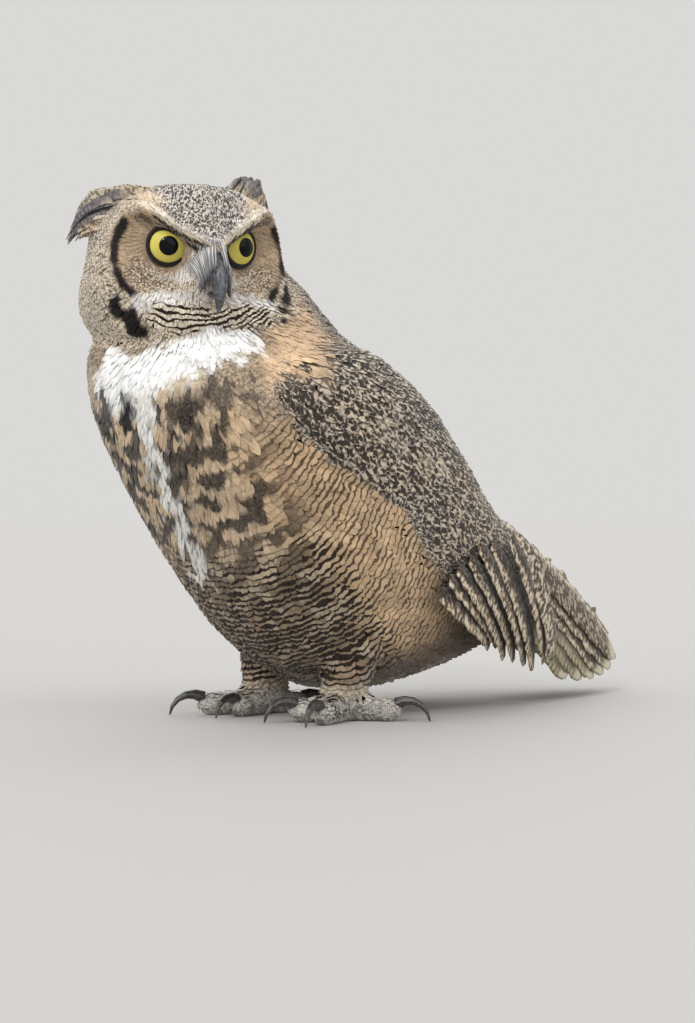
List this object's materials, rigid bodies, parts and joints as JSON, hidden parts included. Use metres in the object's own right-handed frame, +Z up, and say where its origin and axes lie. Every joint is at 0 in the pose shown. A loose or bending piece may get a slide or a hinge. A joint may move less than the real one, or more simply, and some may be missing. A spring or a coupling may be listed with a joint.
{
  "type": "great horned owl",
  "caption": "Life-size still great horned owl standing upright with folded wings, ear tufts, hooked bill and its head turned to its left.",
  "frame": {"origin": "on the floor, under the middle of the whole bird", "axes": "+Z up; the breast faces -Y and the tail +Y; the owl's left side is +X; the face is turned towards +X"},
  "size_m": [0.1962, 0.486, 0.347],
  "materials": {
    "face_plumage": "roughness 0.9",
    "buff_plumage": "roughness 0.9",
    "barred_plumage": "roughness 0.9",
    "mottled_plumage": "roughness 0.9",
    "tuft_plumage": "roughness 0.9",
    "foot_plumage": "roughness 0.95",
    "iris": "roughness 0.15",
    "horn": "roughness 0.4"
  },
  "bodies": {
    "root": {"head": "face_plumage", "neck": "buff_plumage", "trunk": "barred_plumage", "wing_left": "mottled_plumage", "wing_right": "mottled_plumage", "tail": "mottled_plumage", "ear_tuft_left": "tuft_plumage", "ear_tuft_right": "tuft_plumage", "leg_left": "foot_plumage", "leg_right": "foot_plumage", "foot_left": "foot_plumage", "foot_right": "foot_plumage", "eye_left": "iris", "eye_right": "iris", "bill_upper": "horn", "bill_lower": "horn", "claw_left_1": "horn", "claw_left_2": "horn", "claw_left_3": "horn", "claw_left_4": "horn", "claw_right_1": "horn", "claw_right_2": "horn", "claw_right_3": "horn", "claw_right_4": "horn"}
  },
  "joints": []
}
